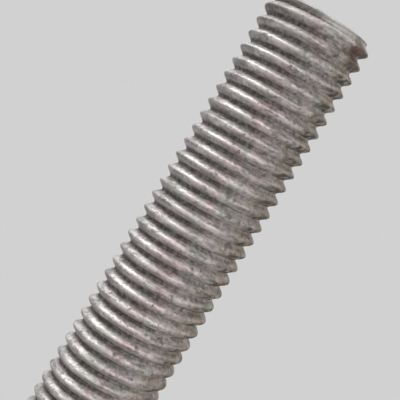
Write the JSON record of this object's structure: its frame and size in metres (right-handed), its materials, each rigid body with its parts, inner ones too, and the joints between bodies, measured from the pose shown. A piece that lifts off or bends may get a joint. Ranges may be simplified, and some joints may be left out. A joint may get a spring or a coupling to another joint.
{
  "type": "threaded rod",
  "caption": "Straight round steel rod with a coarse right-hand thread along its whole length and bevelled ends.",
  "frame": {"origin": "centre of the bottom end face", "axes": "+Z along the rod's axis, from the bottom end to the top end; the rod is round, so X and Y are any two directions square to it"},
  "size_m": [0.0188, 0.0188, 0.1524],
  "materials": {
    "steel": "plain uncoated steel, dull grey with fine streaks along the thread and a faint brown tint"
  },
  "bodies": {
    "root": {"rod": "steel"}
  },
  "joints": []
}
